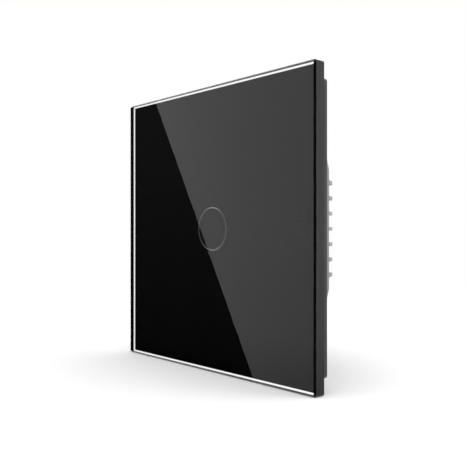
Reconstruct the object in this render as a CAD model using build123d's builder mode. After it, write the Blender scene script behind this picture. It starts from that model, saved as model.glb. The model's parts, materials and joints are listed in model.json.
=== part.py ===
from build123d import *
import math
import os

# Touch light switch with one sensor field, for a round wall box.
# Lengths are millimetres. The origin is the centre of the wall plane, which is the
# rear face of the mounting frame. +Y goes into the wall, the glass faces -Y, +Z is up.

# Driving dimensions of the whole switch
panel_side = 80.0
projection = 7.9
case_width = 47.0
case_depth = 26.0
overrun = 1.0
seat_gap = 0.3
sliding_gap = 0.1

# Glass, its print and the tape that holds it
glass_thickness = 3.3
glass_bevel = 0.45
glass_corner_radius = 0.6
layer_thickness = 0.1
print_side_margin = 0.87
print_end_margin = 0.6
ring_diameter = 12.0
ring_stroke = 0.3
tape_thickness = 0.3
tape_setback = 0.6
tape_width = 8.0

# Panel carrier
skirt_inset = 3.0
skirt_wall = 1.2
skirt_corner_radius = 0.8
carrier_thickness = 1.1
carrier_clearance = 2.0
carrier_arm_width = 9.4
snap_radius = 1.5
snap_tip_bevel = 0.4
snap_offset = 3.0
seat_pad_side = 4.0
seat_pad_inset = 1.0
pry_notch_width = 9.0
pry_notch_depth = 1.5

# Mounting frame of sheet steel
frame_clearance = 0.8
frame_thickness = 1.2
frame_corner_radius = 3.0
frame_lip = 0.5
frame_pocket_depth = 0.3
fixing_share = 0.6774
slot_width = 4.2
slot_length_share = 0.516

# Front cover and what it holds
cover_flange_thickness = 1.5
cover_face_thickness = 1.1
cover_wall = 1.2
cover_ledge = 3.5
cover_raised_cut = 10.0
light_guide_radius = 7.0
light_guide_bore = 4.5
light_guide_lip = 1.0
sensor_pad_radius = 3.0
touch_board_thickness = 1.0
touch_board_gap = 0.8
stake_post_radius = 1.6
stake_radius = 0.8
stake_head = 0.4
stake_inset = 4.5

# Case screws
case_screw_inset = 5.9
case_screw_radius = 1.1
case_screw_head_radius = 2.0
case_screw_head_height = 1.2
case_screw_thread = 8.0
screw_slot_width = 0.6
screw_slot_depth = 0.5
screw_slot_share = 1.4
screw_hole_clearance = 0.2
thread_clearance = 0.05

# Rear housing
case_corner_cut = 6.5
case_wall = 1.5
shoulder_depth = 7.9
shoulder_rear_land = 1.3
shoulder_rear_width = 29.2
boss_radius = 2.6
shoulder_rib_count = 7
shoulder_rib_pitch = 4.38
shoulder_rib_thickness = 1.0
shoulder_rib_height = 1.9
shoulder_rib_peak_share = 0.58
vent_count = 5
vent_width = 1.0
vent_length = 12.0
vent_pitch = 3.0
vent_place = 11.0
plate_recess_width = 24.0
plate_recess_height = 7.0
plate_recess_depth = 0.3
plate_recess_place = -3.0
case_edge_radius = 0.6
driver_hole_bevel = 0.5

# Boards and the link between them
sheet_thickness = 0.5
sheet_clearance = 0.2
power_board_front = 2.0
power_board_thickness = 1.6
power_board_clearance = 0.4
link_pin_count = 8
link_pin_pitch = 2.0
link_pin_side = 0.5
link_pin_depth = 1.5
link_width = 2.4
link_header_height = 1.0
link_place = 5.6

# Screw terminals with rising cages
terminal_count = 3
terminal_pitch = 8.2
terminal_gap = 0.1
terminal_lead_in = 1.5
terminal_length = 11.5
terminal_axis_inset = 6.5
cavity_width = 7.0
cavity_height = 6.6
cage_width = 6.4
cage_height = 5.4
cage_side_wall = 1.0
cage_nut_wall = 2.0
cage_press_wall = 1.5
cage_travel = 2.5
nut_to_bar_gap = 0.9
terminal_screw_radius = 1.5
terminal_screw_running = 0.06
terminal_screw_head_radius = 2.3
terminal_screw_head_height = 2.0
terminal_screw_tip_gap = 0.15
head_pocket_radius = 2.5
driver_hole_radius = 2.6
driver_recess = 0.7
ledge_thickness = 1.0
terminal_slot_width = 0.8
terminal_slot_depth = 0.9
bar_width = 3.6
bar_thickness = 1.0
bar_tail_width = 2.0
bar_setback = 0.6

# Relay
relay_length = 18.0
relay_width = 10.0
relay_height = 15.5
relay_wall = 0.8
relay_base_thickness = 1.2
relay_inset = 11.0
yoke_thickness = 1.2
yoke_width = 6.0
yoke_setback = 0.6
yoke_tail_width = 1.6
coil_place = -1.4
coil_height = 8.0
core_radius = 1.4
pole_radius = 2.2
pole_thickness = 0.6
bobbin_wall = 0.5
bobbin_flange = 0.7
bobbin_length = 7.2
bobbin_width = 8.0
winding_radius = 3.3
coil_pin_place = 3.58
armature_gap = 0.9
armature_thickness = 1.2
armature_reach = 2.0
contact_spring_thickness = 0.3
contact_spring_width = 3.0
contact_place = 6.2
contact_radius = 1.0
fixed_contact_height = 0.8
contact_bar_thickness = 0.8
contact_bar_width = 2.4

# Parts that stand on the power board
lead_radius = 0.3
lead_clearance = 0.08
lead_reach = 0.8

film_capacitor_size = (13.0, 6.0, 11.0)
film_capacitor_inset = 10.9
film_capacitor_rise = 1.5
film_capacitor_lead_spacing = 10.0
film_capacitor_rounding = 0.6
smoothing_capacitor_radius = 4.0
smoothing_capacitor_height = 12.0
smoothing_capacitor_inset = 10.0
smoothing_capacitor_rise = 2.2
smoothing_capacitor_lead_spacing = 3.5
smoothing_capacitor_bead_depth = 0.4
smoothing_capacitor_bead_place = 2.0
choke_radius = 4.0
choke_height = 9.0
choke_hub_radius = 2.0
choke_flange = 1.2
choke_winding_radius = 3.6
choke_shift = 1.2
choke_rise = 0.4
choke_lead_spacing = 5.0
varistor_radius = 4.5
varistor_thickness = 3.4
varistor_lift = 0.6
varistor_inset = 11.5
varistor_rise = 16.9
varistor_lead_spacing = 5.0
fuse_radius = 3.6
fuse_height = 7.5
fuse_inset = 10.5
fuse_rise = 17.3
fuse_lead_spacing = 5.0
rectifier_size = (5.0, 4.0, 2.4)
rectifier_inset = 7.0
rectifier_drop = 13.5
regulator_size = (4.4, 3.4, 4.6)
regulator_inset = 7.0
regulator_drop = 13.5
regulator_lead_spacing = 2.6

# Places that the sizes above decide, as distances along Y
glass_front = -projection
glass_rear = glass_front + glass_thickness
layer_rear = glass_rear + layer_thickness
tape_rear = layer_rear + tape_thickness
carrier_rear = tape_rear + carrier_thickness
frame_front = -frame_thickness
skirt_rear = 0
cover_flange_front = frame_front - cover_flange_thickness
cover_front = layer_rear + seat_gap
cover_face_rear = cover_front + cover_face_thickness
touch_board_front = cover_face_rear + touch_board_gap
touch_board_rear = touch_board_front + touch_board_thickness
case_front = -frame_pocket_depth
power_board_rear = power_board_front + power_board_thickness
lead_tip = power_board_front - lead_reach
case_inner_rear = case_depth - case_wall
shoulder_end = case_depth - shoulder_rear_land
shoulder_start = shoulder_end - shoulder_depth

# Terminals, from the screw head at the rear to the front of the open cage
screw_head_rear = case_inner_rear - driver_recess
screw_head_front = screw_head_rear - terminal_screw_head_height
ledge_rear = screw_head_front - sliding_gap
ledge_front = ledge_rear - ledge_thickness
cage_rear = ledge_front - seat_gap - cage_travel
cage_nut_front = cage_rear - cage_nut_wall
bar_rear = cage_nut_front - nut_to_bar_gap
bar_front = bar_rear - bar_thickness
cage_press_rear = bar_front - seat_gap - cage_travel
cage_front = cage_press_rear - cage_press_wall
terminal_front = cage_front - terminal_lead_in
wire_hole_radius = (bar_front - cage_press_rear) / 2
wire_hole_depth = (bar_front + cage_press_rear) / 2

# Half widths and angles that the sizes above decide
case_half = case_width / 2
panel_half = panel_side / 2
skirt_half = panel_half - skirt_inset
frame_half = skirt_half - skirt_wall - frame_clearance
seat_pad_place = frame_half - seat_pad_inset - seat_pad_side / 2
raised_half = case_half - cover_ledge
carrier_opening = 2 * (raised_half + carrier_clearance)
snap_place = (carrier_opening / 2 + frame_half - snap_offset) / 2
frame_opening_half = raised_half - frame_lip
stake_place = raised_half - stake_inset
case_screw_place = case_half - case_screw_inset
terminal_axis = case_half - terminal_axis_inset
terminal_inner_edge = case_half - terminal_length
terminal_places = [(i - (terminal_count - 1) / 2) * terminal_pitch for i in range(terminal_count)]
diagonal_share = 2 - math.sqrt(2)
shoulder_angle = math.atan2(case_half - shoulder_rear_width / 2, shoulder_end - shoulder_start)

# Fixing slots, 60 mm apart as on every wall box
frame_ring = frame_half - frame_opening_half
fixing_place = frame_opening_half + fixing_share * frame_ring
slot_length = slot_length_share * frame_ring

# Places of the parts on the power board, measured from the walls of the housing
relay_place = case_half - relay_inset
film_capacitor_place = (film_capacitor_inset - case_half, film_capacitor_rise)
smoothing_capacitor_place = (case_half - smoothing_capacitor_inset, smoothing_capacitor_rise)
choke_place = (choke_shift, choke_rise)
varistor_place = (varistor_inset - case_half, varistor_rise - case_half)
fuse_place = (case_half - fuse_inset, fuse_rise - case_half)
rectifier_place = (rectifier_inset - case_half, case_half - rectifier_drop)
regulator_place = (case_half - regulator_inset, case_half - regulator_drop)


def depth(y):
    """The plane at a depth y, whose sketches have X to the right and Z up."""
    return Plane.XZ.offset(-y)


def four_places(reach):
    """One place on each axis, at the same distance from the centre."""
    return [(reach, 0), (0, reach), (-reach, 0), (0, -reach)]


def corner_places(reach):
    """The four corners of a square around the centre."""
    return [(reach, reach), (-reach, reach), (-reach, -reach), (reach, -reach)]


def lead_pair(place, spacing):
    """Two leads side by side under a part that stands on the power board."""
    return [(place[0] - spacing / 2, place[1]), (place[0] + spacing / 2, place[1])]


def octagon_points(half, cut):
    """A square of the given half width with its corners cut off."""
    flat = half - cut
    return [(half, flat), (flat, half), (-flat, half), (-half, flat),
            (-half, -flat), (-flat, -half), (flat, -half), (half, -flat)]


def inset_octagon(half, cut, inset):
    """The same octagon drawn in all round by the inset."""
    return octagon_points(half - inset, cut - inset * diagonal_share)


def case_form(inset, front):
    """The closed form of the rear housing, drawn in by the inset, from a given front."""
    shift = inset * math.tan(shoulder_angle / 2)
    rear_half = shoulder_rear_width / 2 - inset
    side_half = case_half - inset
    rear = case_depth - inset
    right_side = [(side_half, front), (side_half, shoulder_start - shift),
                  (rear_half, shoulder_end - shift), (rear_half, rear)]
    left_side = [(-x, y) for x, y in reversed(right_side)]
    with BuildPart() as form:
        with BuildSketch(depth(rear)):
            Polygon(*inset_octagon(case_half, case_corner_cut, inset), align=None)
        extrude(amount=rear - front)
        with BuildSketch(Plane.XY.offset(-case_half)):
            Polygon(*right_side, *left_side, align=None)
        extrude(amount=case_width, mode=Mode.INTERSECT)
    return form.part


def finish(builder, name):
    """Label a piece and write it to its own file."""
    builder.part.label = name
    export_step(builder.part, f"parts/{name}.step")


os.makedirs("parts", exist_ok=True)

# Glass panel: bevelled all round at the front
with BuildPart() as glass_panel:
    with BuildSketch(depth(glass_rear)):
        RectangleRounded(panel_side, panel_side, glass_corner_radius)
    extrude(amount=glass_thickness)
    chamfer(glass_panel.faces().sort_by(Axis.Y)[0].edges(), glass_bevel)
finish(glass_panel, "glass_panel")

# Black print behind the glass, short of its edge all round and open along the thin ring
print_width = panel_side - 2 * print_side_margin
print_height = panel_side - 2 * print_end_margin
ring_outer = (ring_diameter + ring_stroke) / 2
ring_inner = (ring_diameter - ring_stroke) / 2
with BuildPart() as black_print:
    with BuildSketch(depth(layer_rear)):
        Rectangle(print_width, print_height)
        Circle(ring_outer, mode=Mode.SUBTRACT)
    extrude(amount=layer_thickness)
finish(black_print, "black_print")

with BuildPart() as ring_centre_print:
    with BuildSketch(depth(layer_rear)):
        Circle(ring_inner)
    extrude(amount=layer_thickness)
finish(ring_centre_print, "ring_centre_print")

# Carrier: the plate behind the glass, with arms that clear the fixing screws
skirt_side = 2 * skirt_half
skirt_bore = skirt_side - 2 * skirt_wall
arm_length = skirt_bore
tape_side = skirt_side - 2 * tape_setback
with BuildPart() as bonding_tape:
    with BuildSketch(depth(tape_rear)):
        RectangleRounded(tape_side, tape_side, skirt_corner_radius)
        Rectangle(tape_side - 2 * tape_width, tape_side - 2 * tape_width, mode=Mode.SUBTRACT)
    extrude(amount=tape_thickness)
finish(bonding_tape, "bonding_tape")

with BuildPart() as panel_carrier:
    with BuildSketch(depth(skirt_rear)):
        RectangleRounded(skirt_side, skirt_side, skirt_corner_radius)
    extrude(amount=skirt_rear - tape_rear)
    with BuildSketch(depth(skirt_rear)):
        Rectangle(skirt_bore, skirt_bore)
    extrude(amount=skirt_rear - carrier_rear, mode=Mode.SUBTRACT)
    with BuildSketch(depth(carrier_rear)):
        Rectangle(carrier_opening, carrier_opening)
        Rectangle(arm_length, carrier_arm_width)
        Rectangle(carrier_arm_width, arm_length)
    extrude(amount=carrier_thickness, mode=Mode.SUBTRACT)
    with BuildSketch(depth(frame_front - seat_gap)):
        with Locations(*corner_places(seat_pad_place)):
            Rectangle(seat_pad_side, seat_pad_side)
    extrude(amount=frame_front - seat_gap - carrier_rear)
    with BuildSketch(depth(-sliding_gap)):
        with Locations(*corner_places(snap_place)):
            Circle(snap_radius)
    extrude(amount=-sliding_gap - carrier_rear)
    tips = panel_carrier.faces(Select.LAST).sort_by(Axis.Y)[-4:]
    chamfer(tips.edges(), snap_tip_bevel)
    with BuildSketch(depth(skirt_rear)):
        with Locations((0, -skirt_half)):
            Rectangle(pry_notch_width, 2 * skirt_wall + overrun)
    extrude(amount=pry_notch_depth, mode=Mode.SUBTRACT)
finish(panel_carrier, "panel_carrier")

# Mounting frame: slots for the box screws, holes for the snap pegs and the case screws
with BuildPart() as mounting_frame:
    with BuildSketch(depth(0)):
        RectangleRounded(2 * frame_half, 2 * frame_half, frame_corner_radius)
    extrude(amount=frame_thickness)
    with BuildSketch(depth(0)):
        Polygon(*inset_octagon(raised_half, cover_raised_cut, frame_lip), align=None)
        with Locations(*corner_places(case_screw_place)):
            Circle(case_screw_radius + screw_hole_clearance)
        with Locations(*corner_places(snap_place)):
            Circle(snap_radius + seat_gap)
        with Locations((fixing_place, 0), (-fixing_place, 0)):
            SlotOverall(slot_length, slot_width)
        with Locations((0, fixing_place), (0, -fixing_place)):
            SlotOverall(slot_length, slot_width, rotation=90)
    extrude(amount=frame_thickness, mode=Mode.SUBTRACT)
    with BuildSketch(depth(0)):
        Polygon(*inset_octagon(case_half, case_corner_cut, -seat_gap), align=None)
    extrude(amount=frame_pocket_depth, mode=Mode.SUBTRACT)
finish(mounting_frame, "mounting_frame")

# Front cover: flange under the case screws and a raised face behind the glass
with BuildPart() as front_cover:
    with BuildSketch(depth(frame_front)):
        Polygon(*octagon_points(case_half, case_corner_cut), align=None)
    extrude(amount=cover_flange_thickness)
    with BuildSketch(depth(frame_front)):
        Polygon(*octagon_points(raised_half, cover_raised_cut), align=None)
    extrude(amount=frame_front - cover_front)
    with BuildSketch(depth(frame_front)):
        Polygon(*inset_octagon(raised_half, cover_raised_cut, cover_wall), align=None)
    extrude(amount=frame_front - cover_face_rear, mode=Mode.SUBTRACT)
    with BuildSketch(depth(touch_board_front)):
        with Locations(*four_places(stake_place)):
            Circle(stake_post_radius)
    extrude(amount=touch_board_gap)
    with BuildSketch(depth(touch_board_rear + stake_head)):
        with Locations(*four_places(stake_place)):
            Circle(stake_radius)
    extrude(amount=touch_board_thickness + stake_head)
    with BuildSketch(depth(cover_face_rear)):
        Circle(light_guide_radius + sliding_gap)
    extrude(amount=cover_face_thickness, mode=Mode.SUBTRACT)
    with BuildSketch(depth(frame_front)):
        with Locations(*corner_places(case_screw_place)):
            Circle(case_screw_radius + screw_hole_clearance)
    extrude(amount=cover_flange_thickness, mode=Mode.SUBTRACT)
finish(front_cover, "front_cover")

# Light guide behind the ring, with a lip inside the cover
light_height = touch_board_gap - seat_gap - sliding_gap
with BuildPart() as light_guide:
    with BuildSketch(depth(cover_face_rear + seat_gap)):
        Circle(light_guide_radius + light_guide_lip)
    extrude(amount=seat_gap)
    with BuildSketch(depth(cover_face_rear + seat_gap)):
        Circle(light_guide_radius)
    extrude(amount=cover_face_thickness + seat_gap)
    with BuildSketch(depth(cover_face_rear + seat_gap)):
        Circle(light_guide_bore)
    extrude(amount=cover_face_thickness + seat_gap, mode=Mode.SUBTRACT)
finish(light_guide, "light_guide")

# Sensor pad between the touch board and the glass
with BuildPart() as sensor_pad:
    with BuildSketch(depth(touch_board_front)):
        Circle(sensor_pad_radius)
    extrude(amount=touch_board_front - cover_front)
finish(sensor_pad, "sensor_pad")

# Touch board, staked to the cover, and the row of pins that links it to the power board
link_length = link_pin_count * link_pin_pitch
link_rows = [((i + 0.5) * link_pin_pitch - link_length / 2, link_place) for i in range(link_pin_count)]
with BuildPart() as touch_board:
    with BuildSketch(depth(touch_board_rear)):
        Polygon(*inset_octagon(raised_half, cover_raised_cut, cover_wall + seat_gap), align=None)
        with Locations(*four_places(stake_place)):
            Circle(stake_radius + sliding_gap, mode=Mode.SUBTRACT)
        with Locations(*link_rows):
            Rectangle(link_pin_side + sliding_gap, link_pin_side + sliding_gap, mode=Mode.SUBTRACT)
    extrude(amount=touch_board_thickness)
finish(touch_board, "touch_board")

lamp_length = 1.6
lamp_width = 0.8
lamp_place = (light_guide_radius + light_guide_bore) / 2
with BuildPart() as indicator_lights:
    with BuildSketch(depth(touch_board_front)):
        with PolarLocations(lamp_place, 4):
            Rectangle(lamp_width, lamp_length)
    extrude(amount=light_height)
finish(indicator_lights, "indicator_lights")

chip_length = 5.0
chip_width = 4.0
chip_height = 0.9
with BuildPart() as touch_chip:
    with BuildSketch(depth(touch_board_rear + chip_height)):
        Rectangle(chip_length, chip_width)
    extrude(amount=chip_height)
finish(touch_chip, "touch_chip")

small_part_length = 2.0
small_part_width = 1.2
small_part_height = 0.6
small_part_place = 8.0
with BuildPart() as touch_board_parts:
    with BuildSketch(depth(touch_board_rear + small_part_height)):
        with Locations(*corner_places(small_part_place)):
            Rectangle(small_part_length, small_part_width)
    extrude(amount=small_part_height)
finish(touch_board_parts, "touch_board_parts")

header_rear = touch_board_rear + link_header_height
with BuildPart() as link_header:
    with BuildSketch(depth(header_rear)):
        with Locations((0, link_place)):
            Rectangle(link_length, link_width)
        with Locations(*link_rows):
            Rectangle(link_pin_side, link_pin_side, mode=Mode.SUBTRACT)
    extrude(amount=link_header_height)
finish(link_header, "link_header")

with BuildPart() as link_pins:
    with BuildSketch(depth(header_rear + link_pin_depth)):
        with Locations(*link_rows):
            Rectangle(link_pin_side, link_pin_side)
    extrude(amount=link_header_height + link_pin_depth + touch_board_thickness)
finish(link_pins, "link_pins")

with BuildPart() as link_socket:
    with BuildSketch(depth(power_board_front)):
        with Locations((0, link_place)):
            Rectangle(link_length, link_width)
        with Locations(*link_rows):
            Rectangle(link_pin_side + sliding_gap, link_pin_side + sliding_gap, mode=Mode.SUBTRACT)
    extrude(amount=power_board_front - header_rear)
finish(link_socket, "link_socket")

# Insulating sheet in the mouth of the housing
with BuildPart() as insulating_sheet:
    with BuildSketch(depth(case_front + sheet_thickness)):
        Polygon(*inset_octagon(case_half, case_corner_cut, case_wall + sheet_clearance), align=None)
        with Locations((0, link_place)):
            Rectangle(link_length + 2 * seat_gap, link_width + 2 * seat_gap, mode=Mode.SUBTRACT)
        with Locations(*corner_places(case_screw_place)):
            Circle(case_screw_radius + screw_hole_clearance, mode=Mode.SUBTRACT)
    extrude(amount=sheet_thickness)
finish(insulating_sheet, "insulating_sheet")

# Rear housing: ribbed shoulders, a window for the terminals, holes for the screwdriver
with BuildPart() as rounded_form:
    add(case_form(0, case_front))
    mouth = rounded_form.faces().sort_by(Axis.Y)[0]
    outer_edges = rounded_form.edges() - mouth.edges()
    fillet(outer_edges, case_edge_radius)
housing_outer = rounded_form.part
housing_inner = case_form(case_wall, case_front - overrun)
window_width = terminal_count * terminal_pitch + 2 * terminal_gap
rib_places = [(i - (shoulder_rib_count - 1) / 2) * shoulder_rib_pitch for i in range(shoulder_rib_count)]
rib_rear_half = shoulder_rear_width / 2
rib_peak_x = case_half - shoulder_rib_peak_share * (case_half - rib_rear_half)
rib_peak_y = shoulder_start + shoulder_rib_peak_share * shoulder_depth
rib_peak = (rib_peak_x + shoulder_rib_height * math.cos(shoulder_angle),
            rib_peak_y + shoulder_rib_height * math.sin(shoulder_angle))
rib_right = [(case_half - case_wall / 2, shoulder_start), (case_half, shoulder_start), rib_peak,
             (rib_rear_half, shoulder_end), (rib_rear_half - case_wall / 2, shoulder_end)]
rib_left = [(-x, y) for x, y in reversed(rib_right)]
with BuildPart() as rear_housing:
    add(housing_outer)
    add(housing_inner, mode=Mode.SUBTRACT)
    with BuildSketch(depth(case_depth)):
        with Locations(*corner_places(case_screw_place)):
            Circle(boss_radius)
    extrude(amount=case_depth - power_board_rear)
    add(housing_outer, mode=Mode.INTERSECT)
    with BuildSketch(depth(power_board_rear + case_screw_thread)):
        with Locations(*corner_places(case_screw_place)):
            Circle(case_screw_radius + thread_clearance)
    extrude(amount=case_screw_thread, mode=Mode.SUBTRACT)
    for place in rib_places:
        with BuildSketch(Plane.XY.offset(place - shoulder_rib_thickness / 2)):
            Polygon(*rib_right, align=None)
            Polygon(*rib_left, align=None)
        extrude(amount=shoulder_rib_thickness)
    with BuildSketch(depth(case_depth)):
        with Locations(*[(x, -terminal_axis) for x in terminal_places]):
            Circle(driver_hole_radius)
    extrude(amount=case_wall, mode=Mode.SUBTRACT)
    rear_face = rear_housing.faces().filter_by(Axis.Y).sort_by(Axis.Y)[-1]
    chamfer(rear_face.inner_wires().edges(), driver_hole_bevel)
    with BuildSketch(depth(case_depth)):
        with Locations((0, plate_recess_place)):
            Rectangle(plate_recess_width, plate_recess_height)
    extrude(amount=plate_recess_depth, mode=Mode.SUBTRACT)
    with BuildSketch(depth(case_depth)):
        with Locations((0, vent_place)):
            with GridLocations(0, vent_pitch, 1, vent_count):
                SlotOverall(vent_length, vent_width)
    extrude(amount=case_wall, mode=Mode.SUBTRACT)
    with BuildSketch(Plane.XY.offset(-case_half)):
        with Locations((0, (terminal_front - terminal_gap + case_inner_rear) / 2)):
            Rectangle(window_width, case_inner_rear - terminal_front + terminal_gap)
    extrude(amount=case_wall, mode=Mode.SUBTRACT)
finish(rear_housing, "rear_housing")

# Case screws: four alike, through the cover and the frame into the housing
case_screw_tip = power_board_rear + case_screw_thread
with BuildPart() as case_screws:
    with BuildSketch(depth(case_screw_tip)):
        with Locations(*corner_places(case_screw_place)):
            Circle(case_screw_radius)
    extrude(amount=case_screw_tip - cover_flange_front)
    with BuildSketch(depth(cover_flange_front)):
        with Locations(*corner_places(case_screw_place)):
            Circle(case_screw_head_radius)
    extrude(amount=case_screw_head_height)
    head_front = cover_flange_front - case_screw_head_height
    with BuildSketch(depth(head_front + screw_slot_depth)):
        with Locations(*corner_places(case_screw_place)):
            Rectangle(screw_slot_width, screw_slot_share * case_screw_head_radius)
            Rectangle(screw_slot_share * case_screw_head_radius, screw_slot_width)
    extrude(amount=screw_slot_depth, mode=Mode.SUBTRACT)
finish(case_screws, "case_screws")

# Screw terminals: a body, a rising cage, a captive screw and a fixed bar for each
terminal_depth = case_inner_rear - terminal_front
wire_wall = case_half - terminal_axis - cavity_height / 2
bar_leg_far = -terminal_inner_edge + bar_setback + bar_thickness
bar_tip = -terminal_axis - cage_height / 2
bar_profile = [(bar_rear, bar_tip), (bar_front, bar_tip), (bar_front, bar_leg_far - bar_thickness),
               (power_board_rear, bar_leg_far - bar_thickness), (power_board_rear, bar_leg_far),
               (bar_rear, bar_leg_far)]
for number, place in enumerate(terminal_places, start=1):
    with BuildPart() as terminal_body:
        with BuildSketch(depth(case_inner_rear)):
            with Locations((place, -(case_half + terminal_inner_edge) / 2)):
                Rectangle(terminal_pitch - terminal_gap, case_half - terminal_inner_edge)
        extrude(amount=terminal_depth)
        with BuildSketch(depth(ledge_front)):
            with Locations((place, -terminal_axis)):
                Rectangle(cavity_width, cavity_height)
        extrude(amount=ledge_front - terminal_front, mode=Mode.SUBTRACT)
        with BuildSketch(depth(ledge_rear)):
            with Locations((place, -terminal_axis)):
                Circle(terminal_screw_radius + sliding_gap)
        extrude(amount=ledge_thickness, mode=Mode.SUBTRACT)
        with BuildSketch(depth(case_inner_rear)):
            with Locations((place, -terminal_axis)):
                Circle(head_pocket_radius)
        extrude(amount=case_inner_rear - ledge_rear, mode=Mode.SUBTRACT)
        with BuildSketch(Plane.XY.offset(-case_half)):
            with Locations((place, wire_hole_depth)):
                Circle(wire_hole_radius)
        extrude(amount=wire_wall, mode=Mode.SUBTRACT)
        with BuildSketch(Plane.XY.offset(-terminal_axis)):
            with Locations((place, (bar_front + bar_rear) / 2)):
                Rectangle(bar_width + 2 * terminal_gap, bar_thickness + 2 * terminal_gap)
        extrude(amount=terminal_axis - terminal_inner_edge, mode=Mode.SUBTRACT)
    finish(terminal_body, f"terminal_body_{number}")

    with BuildPart() as terminal_cage:
        with BuildSketch(depth(cage_rear)):
            with Locations((place, -terminal_axis)):
                Rectangle(cage_width, cage_height)
        extrude(amount=cage_rear - cage_front)
        with BuildSketch(Plane.XY.offset(-terminal_axis - cage_height / 2)):
            with Locations((place, (cage_nut_front + cage_press_rear) / 2)):
                Rectangle(cage_width - 2 * cage_side_wall, cage_nut_front - cage_press_rear)
        extrude(amount=cage_height, mode=Mode.SUBTRACT)
        with BuildSketch(depth(cage_rear)):
            with Locations((place, -terminal_axis)):
                Circle(terminal_screw_radius + terminal_screw_running)
        extrude(amount=cage_nut_wall, mode=Mode.SUBTRACT)
    finish(terminal_cage, f"terminal_cage_{number}")

    with BuildPart() as terminal_screw:
        with BuildSketch(depth(screw_head_rear)):
            with Locations((place, -terminal_axis)):
                Circle(terminal_screw_head_radius)
        extrude(amount=terminal_screw_head_height)
        with BuildSketch(depth(screw_head_front)):
            with Locations((place, -terminal_axis)):
                Circle(terminal_screw_radius)
        extrude(amount=screw_head_front - bar_rear - terminal_screw_tip_gap)
        with BuildSketch(depth(screw_head_rear)):
            with Locations((place, -terminal_axis)):
                Rectangle(2 * terminal_screw_head_radius, terminal_slot_width)
                Rectangle(terminal_slot_width, terminal_screw_head_radius)
        extrude(amount=terminal_slot_depth, mode=Mode.SUBTRACT)
    finish(terminal_screw, f"terminal_screw_{number}")

    with BuildPart() as current_bar:
        with BuildSketch(Plane.YZ.offset(place - bar_width / 2)):
            Polygon(*bar_profile, align=None)
        extrude(amount=bar_width)
        with BuildSketch(depth(power_board_rear)):
            with Locations((place, bar_leg_far - bar_thickness / 2)):
                Rectangle(bar_tail_width, bar_thickness)
        extrude(amount=power_board_rear - lead_tip)
    finish(current_bar, f"current_bar_{number}")

# Relay: an open yoke with its coil, and an armature that carries the moving contact
relay_base_rear = power_board_rear + relay_base_thickness
relay_top = power_board_rear + relay_height
relay_inner_half = relay_length / 2 - relay_wall
yoke_left = -relay_inner_half + yoke_setback
yoke_foot_rear = relay_base_rear + yoke_thickness
yoke_foot_right = coil_place + bobbin_length / 2
pole_front = yoke_foot_rear + coil_height
pole_top = pole_front + pole_thickness
armature_front = pole_top + armature_gap
pivot_place = yoke_left + yoke_thickness / 2
closing_slope = (armature_gap - seat_gap) / (coil_place + pole_radius - pivot_place)
contact_drop = closing_slope * (contact_place + contact_radius - pivot_place)
fixed_contact_top = armature_front - contact_drop - seat_gap
fixed_contact_front = fixed_contact_top - fixed_contact_height
contact_bar_right = relay_inner_half - seat_gap
contact_leg_place = contact_bar_right - contact_bar_thickness / 2
contact_bar_middle = (contact_bar_right + contact_place - contact_radius) / 2
yoke_tail_place = (pivot_place, relay_place)
yoke_tail_hole = (yoke_thickness + sliding_gap, yoke_tail_width + sliding_gap)
contact_leg_hole = (contact_bar_thickness + sliding_gap, contact_bar_width + sliding_gap)
coil_pins_at = [(coil_place, relay_place + side * coil_pin_place) for side in (-1, 1)]

with BuildPart() as relay_base:
    with BuildSketch(depth(relay_base_rear)):
        with Locations((0, relay_place)):
            Rectangle(relay_length, relay_width)
        with Locations(*coil_pins_at):
            Circle(lead_radius + lead_clearance, mode=Mode.SUBTRACT)
        with Locations(yoke_tail_place):
            Rectangle(*yoke_tail_hole, mode=Mode.SUBTRACT)
        with Locations((contact_leg_place, relay_place)):
            Rectangle(*contact_leg_hole, mode=Mode.SUBTRACT)
    extrude(amount=relay_base_thickness)
finish(relay_base, "relay_base")

with BuildPart() as relay_case:
    with BuildSketch(depth(relay_top)):
        with Locations((0, relay_place)):
            Rectangle(relay_length, relay_width)
    extrude(amount=relay_top - relay_base_rear)
    fillet(relay_case.edges().filter_by(Axis.Y), relay_wall / 2)
    with BuildSketch(depth(relay_top - relay_wall)):
        with Locations((0, relay_place)):
            Rectangle(relay_length - 2 * relay_wall, relay_width - 2 * relay_wall)
    extrude(amount=relay_top - relay_wall - relay_base_rear, mode=Mode.SUBTRACT)
finish(relay_case, "relay_case")

with BuildPart() as relay_yoke:
    with BuildSketch(depth(yoke_foot_rear)):
        with Locations(((yoke_left + yoke_foot_right) / 2, relay_place)):
            Rectangle(yoke_foot_right - yoke_left, yoke_width)
    extrude(amount=yoke_thickness)
    with BuildSketch(depth(armature_front - seat_gap)):
        with Locations((pivot_place, relay_place)):
            Rectangle(yoke_thickness, yoke_width)
    extrude(amount=armature_front - seat_gap - relay_base_rear)
    with BuildSketch(depth(relay_base_rear)):
        with Locations(yoke_tail_place):
            Rectangle(yoke_thickness, yoke_tail_width)
    extrude(amount=relay_base_rear - lead_tip)
finish(relay_yoke, "relay_yoke")

with BuildPart() as relay_core:
    with BuildSketch(depth(pole_front)):
        with Locations((coil_place, relay_place)):
            Circle(core_radius)
    extrude(amount=coil_height)
    with BuildSketch(depth(pole_top)):
        with Locations((coil_place, relay_place)):
            Circle(pole_radius)
    extrude(amount=pole_thickness)
finish(relay_core, "relay_core")

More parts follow.
